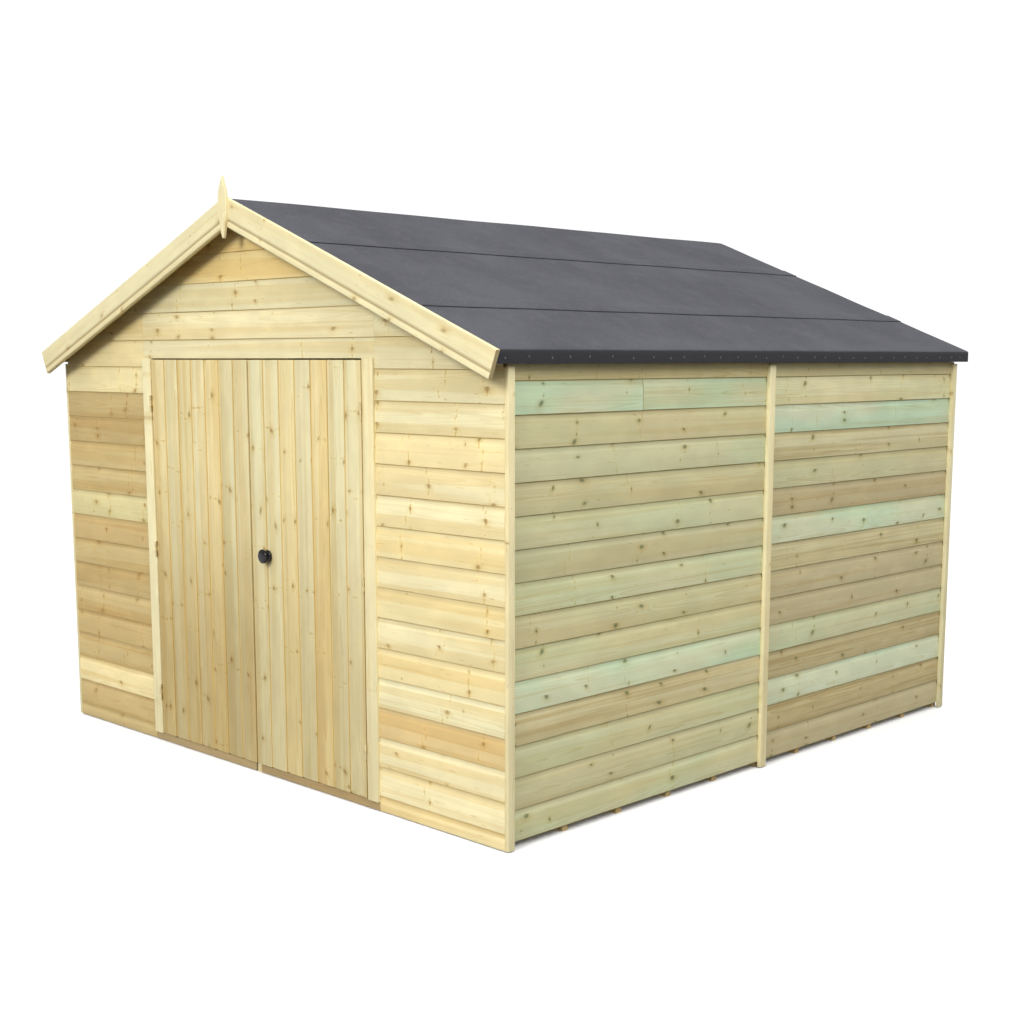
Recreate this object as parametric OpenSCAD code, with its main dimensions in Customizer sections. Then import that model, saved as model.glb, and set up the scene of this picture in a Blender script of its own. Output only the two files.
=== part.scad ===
// Apex garden shed: horizontal shiplap walls, double doors in the front gable,
// two-part timber floor on joists and a felted roof with front bargeboards.
// Millimetres, Z up. The front faces -Y and +X is to the right of the doors.
// Origin: under the middle of the floor, on the ground.

/* [Walls] */
// width across the outer faces of the side cladding
body_w = 3000; // [2400:10:3600]
// depth across the outer faces of the front and rear cladding
body_d = 3170; // [2400:10:4200]
// thickness of the wall cladding
clad_t = 12; // [9:1:20]
// depth and face width of the wall framing
frame_t = 38; // [28:1:50]
// height of the side cladding's bottom edge above the ground
clad_base = 29; // [20:1:40]
// cover width of one cladding board
board_c = 119; // [100:1:140]

/* [Battens] */
// distance the cover battens stand out from the cladding
batten_t = 17; // [12:1:25]
// width of the battens over the panel joints
joint_batten_w = 42; // [30:2:60]
// width of the battens at the corners
corner_batten_w = 34; // [25:1:50]

/* [Roof] */
// height of the ridge, top of the felt
ridge_z = 2414; // [2200:2:2600]
// height of the felt at the eaves
eaves_z = 1804; // [1650:2:1950]
// overhang of the roof boards past the side cladding
eaves_over = 37; // [20:1:80]
// overhang of the roof boards past the front cladding
front_over = 80; // [30:1:120]
// overhang of the roof boards past the rear cladding
rear_over = 62; // [30:1:120]
// thickness of the roof boards
deck_t = 12; // [9:1:20]
// thickness of one layer of felt
felt_t = 3; // [2:0.5:4]
// height of the felt fold at the eaves
fold_h = 50; // [30:1:70]
// sideways distance from the ridge to the upper lap of the felt
lap_up = 451; // [350:1:550]
// sideways distance from the ridge to the lower lap of the felt
lap_low = 1094; // [900:1:1250]
// width by which a strip of felt laps over the one below
lap_w = 66; // [50:1:100]

/* [Bargeboards and finial] */
// depth of a bargeboard, square to the roof slope
barge_h = 109; // [80:1:140]
// thickness of a bargeboard
barge_t = 18; // [12:1:25]
// sideways reach of the front bargeboards from the ridge
barge_x = 1558; // [1500:1:1620]
// height of the finial
finial_h = 246; // [180:2:300]
// width of the finial
finial_w = 60; // [40:1:70]
// thickness of the finial
finial_t = 12; // [9:1:25]

/* [Doors] */
// width of one door leaf
leaf_w = 733; // [600:1:800]
// height of a door leaf
leaf_h = 1722; // [1600:2:1800]
// height of the leaf's bottom edge above the ground
leaf_z = 44; // [40:1:60]
// gap between the two leaves
meet_gap = 6; // [6:1:12]
// gap between a leaf and the trim beside it
side_gap = 6; // [5:1:8]
// width of the trim beside each leaf
trim_w = 64; // [50:1:90]
// distance the doors and trims stand proud of the cladding
proud = 10; // [6:1:14]
// sideways distance from the meeting line to the knob
knob_x = 120; // [80:1:150]
// height of the knob
knob_z = 957; // [850:1:1100]
// diameter of the knob's head
knob_d = 60; // [50:1:70]

/* [Floor] */
// height of the floor joists
joist_h = 44; // [38:1:60]
// thickness of the floor boards
floor_t = 12; // [9:1:18]
// number of floor joists from front to rear
joist_n = 11; // [7:1:13]

/* [Hidden] */
hw = body_w / 2;
hd = body_d / 2;
inner_x = hw - clad_t - frame_t;
inner_y = hd - clad_t - frame_t;
roof_x = hw + eaves_over;
felt_x = roof_x + felt_t;
rise = ridge_z - eaves_z;
slope_t = rise / felt_x;
slope_c = 1 / sqrt(1 + slope_t * slope_t);
slope_s = slope_t * slope_c;
roof_y0 = -hd - front_over;
roof_y1 = hd + rear_over;
deck_n = -felt_t - deck_t;
trim_x0 = meet_gap / 2 + leaf_w + side_gap;
trim_x1 = trim_x0 + trim_w;
face_y = -hd - proud;
leaf_y1 = face_y + clad_t;
panel_z0 = leaf_z + leaf_h + 6;
front_row = clad_base + 14 * board_c + 38;
panel_z1 = front_row + 2 * board_c;
side_top = front_row + 20;
floor_z = joist_h + floor_t;
pivot_x = trim_x0 - side_gap / 2;
pivot_y = face_y - 5;
pin_r = 2;
knuckle_r = 4.5;
hinge_h = 70;
hinge_zs = [leaf_z + 160, leaf_z + 830, leaf_z + leaf_h - 230];
door_post_x = trim_x0 + 3;
rafter_h = frame_t / slope_c;
ridge_beam_h = 85;
purlin_x = 760;
purlin_h = 60;
purlin_lean = 24;
rear_stud_x = 720;
strip_t = 18;
strip_z = eaves_z - fold_h + 4;
finial_rise = 85;
rear_barge_h = 90;
rear_barge_foot = 60;
lap_flat = 12;
lap_rise = 24;
floor_x = hw - clad_t - 4;
joist_w = 32;
joist_x0 = 20;
joining_w = 28;
front_base = 6;
batten_z0 = 5;
batten_z1 = side_top - 8;
ledge_t = 20;
ledge_h = 95;
ledge_foot = 60;
ledge_head = 85;
hair = 0.4;
touch = 0.1;

// height of the line n mm above the felt's top face, at the sideways distance x
function roof_z(x, n) = ridge_z + n / slope_c - abs(x) * slope_t;

// height of what stands just under the roof boards, at the sideways distance x
function under_z(x) = roof_z(x, deck_n - touch);

// height of the felt's underside, just clear of the roof boards, at the sideways distance x
function felt_z(x) = roof_z(x, touch - felt_t);

// a flat outline in X and Z, given the thickness t in Y from y0 towards the rear
module upright(pts, y0, t) {
    translate([0, y0 + t, 0]) rotate([90, 0, 0]) linear_extrude(height = t) polygon(points = pts);
}

module box(x0, x1, y0, y1, z0, z1) {
    translate([x0, y0, z0]) cube([x1 - x0, y1 - y0, z1 - z0]);
}

module both_sides() {
    children();
    mirror([1, 0, 0]) children();
}

module floor_joists() {
    y0 = -hd + clad_t;
    step = (-2 * y0 - joist_w) / (joist_n - 1);
    color([0.68, 0.56, 0.36]) both_sides() for (i = [0 : joist_n - 1])
        box(joist_x0, floor_x, y0 + i * step, y0 + i * step + joist_w, 0, joist_h);
}

module floor_joining_strip() {
    color([0.75, 0.64, 0.44])
        box(-joining_w / 2, joining_w / 2, -hd + 4, hd - clad_t, 0, joist_h);
}

module floor_boards_left() {
    color([0.76, 0.65, 0.45])
        box(-floor_x, -hair, -hd + clad_t, hd - clad_t, joist_h, floor_z);
}

module floor_boards_right() {
    color([0.76, 0.65, 0.45])
        box(hair, floor_x, -hd + clad_t, hd - clad_t, joist_h, floor_z);
}

module door_sill() {
    color([0.7, 0.58, 0.38]) both_sides()
        box(joist_x0, trim_x1 - 1, -hd, -hd + clad_t, front_base - 2, leaf_z - 6);
}

module front_wall_right() {
    color([0.86, 0.77, 0.52])
        box(trim_x1, hw, -hd, -hd + clad_t, front_base, front_row);
}

module front_wall_left() {
    color([0.82, 0.71, 0.45])
        box(-hw, -trim_x1, -hd, -hd + clad_t, front_base, front_row);
}

module over_door_panel() {
    color([0.85, 0.76, 0.5]) box(-trim_x1, trim_x1, -hd, -hd + clad_t, panel_z0, panel_z1);
}

module front_gable() {
    color([0.84, 0.74, 0.48]) difference() {
        upright([[-hw, front_row], [hw, front_row], [hw, under_z(hw)],
            [0, under_z(0)], [-hw, under_z(hw)]], -hd, clad_t);
        box(-trim_x1, trim_x1, -hd - 1, -hd + clad_t + 1, front_row - 1, panel_z1);
    }
}

module door_trim_right() {
    color([0.86, 0.77, 0.52])
        box(trim_x0, trim_x1, face_y, -hd + clad_t, leaf_z - 5, panel_z0);
}

module door_trim_left() {
    color([0.86, 0.77, 0.52])
        box(-trim_x1, -trim_x0, face_y, -hd + clad_t, leaf_z - 5, panel_z0);
}

module side_panel(y0, y1) {
    box(hw - clad_t, hw, y0, y1, clad_base, side_top);
}

module side_wall_right_front() {
    color([0.7, 0.68, 0.48]) side_panel(-hd + clad_t, -1);
}

module side_wall_right_rear() {
    color([0.68, 0.67, 0.47]) side_panel(1, hd - clad_t);
}

module side_wall_left_front() {
    color([0.7, 0.68, 0.48]) mirror([1, 0, 0]) side_panel(-hd + clad_t, -1);
}

module side_wall_left_rear() {
    color([0.68, 0.67, 0.47]) mirror([1, 0, 0]) side_panel(1, hd - clad_t);
}

module rear_wall() {
    color([0.7, 0.68, 0.48]) box(-hw, hw, hd - clad_t, hd, clad_base, side_top);
}

module rear_gable() {
    color([0.7, 0.68, 0.48])
        upright([[-hw, side_top], [hw, side_top], [hw, under_z(hw)],
            [0, under_z(0)], [-hw, under_z(hw)]], hd - clad_t, clad_t);
}

module corner_battens_front() {
    color([0.86, 0.77, 0.52]) both_sides()
        box(hw, hw + batten_t, -hd, -hd + corner_batten_w, batten_z0, batten_z1);
}

module corner_battens_rear() {
    color([0.86, 0.77, 0.52]) both_sides()
        box(hw, hw + batten_t, hd - corner_batten_w, hd, batten_z0, batten_z1);
}

module joint_battens() {
    half = joint_batten_w / 2;
    color([0.86, 0.75, 0.48]) {
        both_sides() box(hw, hw + batten_t, -half, half, batten_z0, batten_z1);
        box(-half, half, hd, hd + batten_t, batten_z0, under_z(half) - 1);
    }
}

// The framing members stand a hair apart, so each is a solid of its own.

// rafters of a gable frame, under the roof boards
module gable_rafters(y0) {
    x1 = hw - clad_t;
    both_sides() upright([[hair, under_z(hair)], [x1, under_z(x1)],
        [x1, under_z(x1) - rafter_h], [hair, under_z(hair) - rafter_h]], y0, frame_t);
}

// a stud from the bottom rail or the floor up to the rafter above it
module gable_stud(x0, y0, z0) {
    box(x0, x0 + frame_t, y0, y0 + frame_t, z0, under_z(x0 + frame_t) - rafter_h - hair);
}

module front_frame() {
    y0 = -hd + clad_t;
    rail_x = door_post_x + frame_t + hair;
    header_z = panel_z0 + 4;
    color([0.74, 0.63, 0.42]) {
        gable_rafters(y0);
        both_sides() {
            gable_stud(inner_x, y0, floor_z);
            gable_stud(door_post_x, y0, floor_z);
            box(rail_x, inner_x - hair, y0, y0 + frame_t, floor_z, floor_z + frame_t);
            box(rail_x, inner_x - hair, y0, y0 + frame_t, front_row - frame_t, front_row);
        }
        box(hair - door_post_x, door_post_x - hair, y0, y0 + frame_t, header_z, header_z + frame_t);
    }
}

module rear_frame() {
    corner = hw - clad_t;
    stud_z = floor_z + frame_t + hair;
    color([0.74, 0.63, 0.42]) {
        gable_rafters(inner_y);
        box(-corner, corner, inner_y, hd - clad_t, floor_z, floor_z + frame_t);
        both_sides() for (x = [hair, rear_stud_x, inner_x]) gable_stud(x, inner_y, stud_z);
    }
}

module side_frame_right() {
    x0 = inner_x;
    x1 = hw - clad_t;
    y = inner_y - hair;
    rail_z = side_top - 20;
    color([0.74, 0.63, 0.42]) {
        for (s = [-y, -y / 2 - frame_t / 2, -frame_t - hair, hair, y / 2 - frame_t / 2, y - frame_t])
            box(x0, x1, s, s + frame_t, floor_z + frame_t + hair, rail_z - hair);
        box(x0, x1, -y, y, floor_z, floor_z + frame_t);
        upright([[x0, rail_z], [x1, rail_z], [x1, under_z(x1)],
            [x0, under_z(x0)]], -y, 2 * y);
    }
}

module side_frame_left() {
    mirror([1, 0, 0]) side_frame_right();
}

module roof_timbers() {
    y = inner_y;
    half = frame_t / 2;
    beam_z = under_z(half) - ridge_beam_h;
    x0 = purlin_x;
    x1 = purlin_x + frame_t;
    color([0.74, 0.63, 0.42]) {
        upright([[-half, under_z(half)], [0, under_z(0)], [half, under_z(half)],
            [half, beam_z], [-half, beam_z]], -y, 2 * y);
        both_sides() upright([[x0, under_z(x0)], [x1, under_z(x1)], [x1 - purlin_lean,
            under_z(x1) - purlin_h], [x0 - purlin_lean, under_z(x0) - purlin_h]], -y, 2 * y);
    }
}

module eaves_strips() {
    x0 = roof_x - strip_t;
    color([0.72, 0.6, 0.4]) both_sides() upright([[x0, strip_z], [roof_x, strip_z],
        [roof_x, under_z(roof_x)], [x0, under_z(x0)]], roof_y0, roof_y1 - roof_y0);
}

module roof_boards_right() {
    color([0.72, 0.6, 0.4]) upright([[0, roof_z(0, deck_n)], [roof_x, roof_z(roof_x, deck_n)],
        [roof_x, roof_z(roof_x, -felt_t)], [0, roof_z(0, -felt_t)]], roof_y0, roof_y1 - roof_y0);
}

module roof_boards_left() {
    mirror([1, 0, 0]) roof_boards_right();
}

module felt_eaves_right() {
    color([0.3, 0.29, 0.32]) upright([[lap_low, felt_z(lap_low)],
        [roof_x + touch, felt_z(roof_x)], [roof_x + touch, eaves_z - fold_h],
        [felt_x, eaves_z - fold_h], [felt_x, eaves_z], [lap_low, roof_z(lap_low, 0)]],
        roof_y0, roof_y1 - roof_y0);
}

module felt_eaves_left() {
    mirror([1, 0, 0]) felt_eaves_right();
}

// each strip lies over the strip below it, stepping up by one thickness of felt
module felt_middle_right() {
    low = lap_low;
    color([0.32, 0.31, 0.34]) upright([[lap_up + hair, felt_z(lap_up + hair)],
        [low - hair, felt_z(low - hair)], [low - hair, roof_z(low - hair, touch)],
        [low + lap_w, roof_z(low + lap_w, touch)], [low + lap_w, roof_z(low + lap_w, felt_t)],
        [low - lap_flat, roof_z(low - lap_flat, felt_t)],
        [low - lap_rise, roof_z(low - lap_rise, 0)],
        [lap_up + hair, roof_z(lap_up + hair, 0)]], roof_y0, roof_y1 - roof_y0);
}

module felt_middle_left() {
    mirror([1, 0, 0]) felt_middle_right();
}

module felt_ridge() {
    u = lap_up;
    v = u + lap_w;
    right = [[u, felt_z(u)], [u, roof_z(u, touch)], [v, roof_z(v, touch)], [v, roof_z(v, felt_t)],
        [u - lap_flat, roof_z(u - lap_flat, felt_t)], [u - lap_rise, roof_z(u - lap_rise, 0)]];
    left = [for (i = [len(right) - 1 : -1 : 0]) [-right[i][0], right[i][1]]];
    color([0.32, 0.31, 0.34]) upright(concat([[0, felt_z(0)]], right, [[0, ridge_z]], left),
        roof_y0, roof_y1 - roof_y0);
}

module bargeboard_front_right() {
    color([0.87, 0.79, 0.55]) upright([[0, roof_z(0, 4)], [barge_x, roof_z(barge_x, 4)],
        [barge_x - barge_h * slope_s, roof_z(barge_x, 4) - barge_h * slope_c],
        [0, roof_z(0, 4 - barge_h)]], roof_y0 - barge_t, barge_t);
}

module bargeboard_front_left() {
    mirror([1, 0, 0]) bargeboard_front_right();
}

module bargeboards_rear() {
    x = roof_x - strip_t - hair;
    color([0.87, 0.79, 0.55]) both_sides() upright([[hair, under_z(hair)], [x, under_z(x)],
        [x, strip_z], [x - rear_barge_foot, strip_z], [hair, under_z(hair) - rear_barge_h]],
        roof_y1 - barge_t, barge_t);
}

// a leaf outline, blunt at the foot and pointed at the top
module finial() {
    z0 = ridge_z + finial_rise - finial_h;
    half = [[0, 0.12], [0.05, 0.34], [0.16, 0.56], [0.3, 0.78], [0.45, 0.94], [0.58, 1],
        [0.7, 0.88], [0.83, 0.6], [0.94, 0.26]];
    right = [for (p = half) [p[1] * finial_w / 2, z0 + p[0] * finial_h]];
    left = [for (i = [len(right) - 1 : -1 : 0]) [-right[i][0], right[i][1]]];
    color([0.87, 0.79, 0.55]) upright(concat(right, [[0, z0 + finial_h]], left),
        roof_y0 - barge_t - finial_t, finial_t);
}

module leaf_boards() {
    box(meet_gap / 2, meet_gap / 2 + leaf_w, face_y, leaf_y1, leaf_z, leaf_z + leaf_h);
}

// three ledges across the back of a leaf
module leaf_ledges() {
    x0 = meet_gap / 2 + 20;
    x1 = meet_gap / 2 + leaf_w - 20;
    for (z = [floor_z + ledge_foot, knob_z - ledge_h / 2, leaf_z + leaf_h - ledge_head - ledge_h])
        box(x0, x1, leaf_y1, leaf_y1 + ledge_t, z, z + ledge_h);
}

module left_door_boards() {
    color([0.8, 0.69, 0.42]) mirror([1, 0, 0]) leaf_boards();
}

module left_door_ledges() {
    color([0.74, 0.63, 0.42]) mirror([1, 0, 0]) leaf_ledges();
}

module spindle_hole() {
    translate([knob_x, face_y - 10, knob_z]) rotate([-90, 0, 0]) cylinder(h = 60, r = 7.5, $fn = 48);
}

module right_door_boards() {
    color([0.85, 0.75, 0.48]) difference() {
        leaf_boards();
        spindle_hole();
    }
}

module right_door_ledges() {
    color([0.74, 0.63, 0.42]) difference() {
        leaf_ledges();
        spindle_hole();
    }
}

module knuckle(z0, h) {
    difference() {
        translate([pivot_x, pivot_y, z0]) cylinder(h = h, r = knuckle_r, $fn = 36);
        translate([pivot_x, pivot_y, z0 - 1]) cylinder(h = h + 2, r = pin_r + 0.5, $fn = 36);
    }
}

// the frame half of a butt hinge: plate, top and bottom knuckles and the pin
module frame_hinge(z0) {
    k = hinge_h / 3;
    for (z = [z0, z0 + 2 * k]) {
        translate([pivot_x, pivot_y, z]) cylinder(h = k, r = knuckle_r, $fn = 36);
        box(pivot_x + 1.2, trim_x0, pivot_y, face_y + 22, z, z + k);
    }
    translate([pivot_x, pivot_y, z0]) cylinder(h = hinge_h, r = pin_r, $fn = 36);
}

// the door half of a butt hinge: plate and middle knuckle
module door_hinge(z0) {
    k = hinge_h / 3;
    knuckle(z0 + k + 0.5, k - 1);
    difference() {
        box(pivot_x - side_gap / 2, pivot_x - 1.2, pivot_y, face_y + 11, z0 + k + 0.5, z0 + 2 * k - 0.5);
        translate([pivot_x, pivot_y, z0]) cylinder(h = hinge_h, r = pin_r + 0.5, $fn = 36);
    }
}

module frame_hinges() {
    color([0.62, 0.6, 0.55]) both_sides() for (z = hinge_zs) frame_hinge(z);
}

module right_door_hinges() {
    color([0.62, 0.6, 0.55]) for (z = hinge_zs) door_hinge(z);
}

module left_door_hinges() {
    color([0.62, 0.6, 0.55]) mirror([1, 0, 0]) for (z = hinge_zs) door_hinge(z);
}

// a turned knob: dome against the door, neck, broad head, and a spindle to a smaller inner knob
module door_knob() {
    r = knob_d / 2;
    color([0.04, 0.04, 0.04]) translate([knob_x, face_y, knob_z]) rotate([90, 0, 0]) {
        rotate_extrude($fn = 64) polygon(points = [[0, 0.5], [24, 0.5], [25, 4], [24, 10],
            [20, 15], [15, 18], [15, 20], [r - 9, 22], [r - 2, 26], [r, 30],
            [r - 2, 34], [r - 10, 37], [0, 38.5]]);
        translate([0, 0, -44]) cylinder(h = 50, r = 6, $fn = 48);
        translate([0, 0, -62]) cylinder(h = 20, r = 18, $fn = 48);
    }
}

floor_joists();
floor_joining_strip();
floor_boards_left();
floor_boards_right();
door_sill();
front_wall_left();
front_wall_right();
over_door_panel();
front_gable();
door_trim_left();
door_trim_right();
side_wall_left_front();
side_wall_left_rear();
side_wall_right_front();
side_wall_right_rear();
rear_wall();
rear_gable();
corner_battens_front();
corner_battens_rear();
joint_battens();
front_frame();
side_frame_left();
side_frame_right();
rear_frame();
roof_timbers();
eaves_strips();
roof_boards_left();
roof_boards_right();
felt_eaves_left();
felt_eaves_right();
felt_middle_left();
felt_middle_right();
felt_ridge();
bargeboard_front_left();
bargeboard_front_right();
bargeboards_rear();
finial();
left_door_boards();
left_door_ledges();
right_door_boards();
right_door_ledges();
frame_hinges();
left_door_hinges();
right_door_hinges();
door_knob();
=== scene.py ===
"""Apex garden shed with shiplap walls, double doors and a felted roof. Metres, Z up, front at -Y."""
import math
import random

import bmesh
import bpy
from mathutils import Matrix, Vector


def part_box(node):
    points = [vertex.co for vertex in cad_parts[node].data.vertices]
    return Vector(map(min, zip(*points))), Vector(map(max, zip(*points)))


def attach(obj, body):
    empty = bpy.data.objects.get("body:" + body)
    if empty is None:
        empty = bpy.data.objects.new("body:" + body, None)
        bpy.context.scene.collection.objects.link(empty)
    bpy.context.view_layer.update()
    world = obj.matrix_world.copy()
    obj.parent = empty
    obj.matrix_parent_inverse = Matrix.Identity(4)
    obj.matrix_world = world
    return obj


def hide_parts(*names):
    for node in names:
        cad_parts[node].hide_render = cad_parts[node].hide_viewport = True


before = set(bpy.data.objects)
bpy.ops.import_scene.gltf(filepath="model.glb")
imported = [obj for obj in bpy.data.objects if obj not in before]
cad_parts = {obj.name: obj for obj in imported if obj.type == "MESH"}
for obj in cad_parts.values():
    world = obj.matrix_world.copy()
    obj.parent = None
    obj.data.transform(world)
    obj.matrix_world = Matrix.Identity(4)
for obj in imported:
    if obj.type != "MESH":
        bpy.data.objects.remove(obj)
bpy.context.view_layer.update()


# ---- Sizes, read from the frame ----

def low(node):
    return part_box(node)[0]


def high(node):
    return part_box(node)[1]


WALL_X = high("rear_wall").x
FRONT_Y = low("front_wall_right").y
REAR_Y = high("rear_wall").y
CLAD = high("front_wall_right").y - FRONT_Y
ROW_Z = high("front_wall_right").z
COVER = (high("over_door_panel").z - ROW_Z) / 2
SIDE_LOW = low("rear_wall").z
SIDE_TOP = high("rear_wall").z
TRIM_X = high("door_trim_right").x

RIDGE_Z = high("felt_ridge").z
SLOPE = (RIDGE_Z - high("felt_eaves_right").z) / low("felt_eaves_right").x
TILT = math.atan(SLOPE)
ROOF_X = high("roof_boards_right").x
ROOF_FRONT = low("roof_boards_right").y
ROOF_REAR = high("roof_boards_right").y
FELT = (RIDGE_Z - high("roof_boards_right").z) * math.cos(TILT)
DECK = (RIDGE_Z - ROOF_X * SLOPE - low("roof_boards_right").z) * math.cos(TILT) - FELT


def roof_z(x, above=0.0):
    """Height of the line that runs the given distance above the felt, square to the slope."""
    return RIDGE_Z + above / math.cos(TILT) - abs(x) * SLOPE


# ---- Colours, as red, green and blue out of 255 ----

def colour(red, green, blue):
    def linear(value):
        value /= 255
        return value / 12.92 if value <= 0.04045 else ((value + 0.055) / 1.055) ** 2.4
    return Vector((linear(red), linear(green), linear(blue)))


CREAM = colour(224, 215, 174)
HONEY = colour(224, 209, 160)
# Warmer and lighter than honey: partly the gable boards' tone, partly painted light against the shade
# under the roof
AMBER_TONE_AND_LIGHT = colour(238, 215, 154)
WHEAT = colour(206, 184, 134)
TAN = colour(186, 165, 116)
BISCUIT = colour(192, 173, 124)
LEMON = colour(204, 194, 146)
STRAW = colour(194, 184, 140)
PALE = colour(208, 204, 166)
SAGE = colour(194, 191, 153)
OLIVE = colour(190, 183, 144)
MINT = colour(196, 200, 167)
JADE = colour(198, 204, 174)
BARK = colour(194, 187, 150)
ASH = colour(178, 167, 131)
DUSK = colour(178, 166, 126)
SAWN = colour(206, 182, 130)
SILL = colour(172, 150, 110)
# Dark brown roof boards: partly their own tone, partly painted shade for their underside under the
# overhang
SOFFIT_TONE_AND_SHADE = colour(84, 62, 50)
# Colours of grime in the joints, grooves and board ends. They also paint the shade there.
GOLDEN_DIRT_AND_SHADE = colour(202, 172, 104)
GROOVE_DIRT_AND_SHADE = colour(140, 112, 62)
OLIVE_DIRT_AND_SHADE = colour(164, 148, 86)


# ---- Meshes ----

class Pile:
    """Solids gathered into one mesh. Each point keeps its place in the grain, its tint and its marks."""

    def __init__(self):
        self.points, self.faces = [], []
        self.grain, self.tint, self.mark = [], [], []

    def loft(self, rings, grains, tint, marks, foot_darkening=0.0):
        """A closed solid through rings of points, which all have the same number of points."""
        start, count = len(self.points), len(rings[0])
        for ring, grain, mark in zip(rings, grains, marks):
            self.points += ring
            self.grain += grain
            self.mark += mark
            self.tint += [(*tint, foot_darkening)] * count
        for first in range(start, start + count * (len(rings) - 1), count):
            for i in range(count):
                j = (i + 1) % count
                self.faces.append((first + i, first + j, first + j + count, first + i + count))
        last = start + count * (len(rings) - 1)
        self.faces.append(tuple(reversed(range(start, start + count))))
        self.faces.append(tuple(range(last, last + count)))

    def build(self, name, material, body, slot, nodes=(), crease=30):
        """The mesh as a piece that rides on a body and stands for the given CAD nodes."""
        mesh = bpy.data.meshes.new(name)
        mesh.from_pydata([tuple(p) for p in self.points], [], self.faces)
        write_attributes(mesh, self.grain, self.mark, self.tint)
        shape = bmesh.new()
        shape.from_mesh(mesh)
        bmesh.ops.recalc_face_normals(shape, faces=shape.faces)
        shape.to_mesh(mesh)
        shape.free()
        return finish_piece(mesh, name, material, body, nodes, crease)


def write_attributes(mesh, grain, mark, tint):
    """Each point's place in the grain, its marks and its tint, for the wood and felt materials."""
    for name, kind, field, values in (("grain", "FLOAT_VECTOR", "vector", grain),
                                      ("mark", "FLOAT_VECTOR", "vector", mark),
                                      ("tint", "FLOAT_COLOR", "color", tint)):
        attribute = mesh.attributes.new(name, kind, "POINT")
        attribute.data.foreach_set(field, [number for value in values for number in value])


def finish_piece(mesh, name, material, body, nodes=(), crease=30):
    """Puts a mesh in the scene with its material, its body and the nodes it replaces."""
    mesh.shade_smooth()
    mesh.set_sharp_from_angle(angle=math.radians(crease))
    mesh.materials.append(material)
    piece = bpy.data.objects.new(name, mesh)
    bpy.context.scene.collection.objects.link(piece)
    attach(piece, body)
    if nodes:
        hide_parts(*nodes)
    return piece


# ---- Boards ----

RUNS = 9              # rings of points along a board
LIP = 0.0075          # how far a shiplap board laps over the one below
SCOOP_DEPTH = 0.0042  # depth of the hollow along a shiplap board's upper edge
SCOOP_RUN = 0.020     # height of the curved part of that hollow
SCOOP_FROM = 0.76     # share of the cover where the hollow starts
ARRIS = 0.0008        # rounding of a planed edge
DIRT_AND_SHADE_RUN = 0.005      # height of the dark line under each board's lip: grime and painted shade
END_DIRT_AND_SHADE = 0.0015     # length of the dark band of grime and painted shade at each end of a board


def clip(outline, lowest, highest):
    """The part of an outline between two heights."""
    for limit, side in ((lowest, 1), (highest, -1)):
        kept = []
        for (u0, d0), (u1, d1) in zip(outline, outline[1:] + outline[:1]):
            inside, next_inside = side * (u0 - limit) >= 0, side * (u1 - limit) >= 0
            if inside:
                kept.append((u0, d0))
            if inside != next_inside:
                kept.append((limit, d0 + (d1 - d0) * (limit - u0) / (u1 - u0)))
        outline = kept
    return outline


def shiplap(cover, lowest=0.0, highest=1.0):
    """A shiplap board's cross-section as heights and depths, with how much grime and painted shade each
    point gets.
    """
    scoop = SCOOP_FROM * cover
    radius = (SCOOP_RUN ** 2 + SCOOP_DEPTH ** 2) / (2 * SCOOP_DEPTH)
    turn = math.asin(SCOOP_RUN / radius)
    arc = []
    for i in range(7):
        angle = turn * (1 - i / 6)
        arc.append((scoop + SCOOP_RUN - radius * math.sin(angle),
                    SCOOP_DEPTH - radius * (1 - math.cos(angle))))
    outline = [(0, SCOOP_DEPTH - 0.0004), (0, ARRIS), (ARRIS, 0), (3 * ARRIS, 0), *arc,
               (cover - DIRT_AND_SHADE_RUN, SCOOP_DEPTH), (cover - 0.001, SCOOP_DEPTH),
               (cover + LIP, SCOOP_DEPTH), (cover + LIP, CLAD), (LIP + ARRIS, CLAD),
               (LIP + ARRIS, SCOOP_DEPTH - 0.0004)]
    return [(u, d, dirt_and_shade_at(u, d, cover)) for u, d in clip(outline, lowest, highest)]


def dirt_and_shade_at(u, depth, cover):
    """Grime and painted shade under the lip and on the strip of the board below it, which the lip shades.
    """
    if u <= ARRIS:
        return 0.75
    if depth >= SCOOP_DEPTH - 1e-6 and u > cover - 0.002:
        return 1.0
    return 0.0


def plank(width, thick, arris=0.0015):
    """A plain board's cross-section, with small chamfers on the front face that are darkened by grime and
    painted shade between boards.
    """
    return [(0, thick, 0.0), (0, arris, 0.6), (arris, 0, 0.3), (3 * arris, 0, 0.0),
            (width - 3 * arris, 0, 0.0), (width - arris, 0, 0.3), (width, arris, 0.6),
            (width, thick, 0.0)]


class Wander:
    """A slow wave along a board, under a millimetre high, so that no edge is quite straight."""

    def __init__(self, luck, height=0.0005):
        self.height = height
        self.turns = luck.uniform(1.5, 4.0)
        self.start = luck.uniform(0, 2 * math.pi)

    def __call__(self, along):
        return self.height * math.sin(self.turns * along + self.start)


def steps_along(runs, length):
    """Shares of a board's length at which its rings of points stand, close together at the ends."""
    close = END_DIRT_AND_SHADE / length
    inner = [i / (runs - 1) for i in range(1, runs - 1)]
    return [0.0, close, *inner, 1.0 - close, 1.0]


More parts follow.
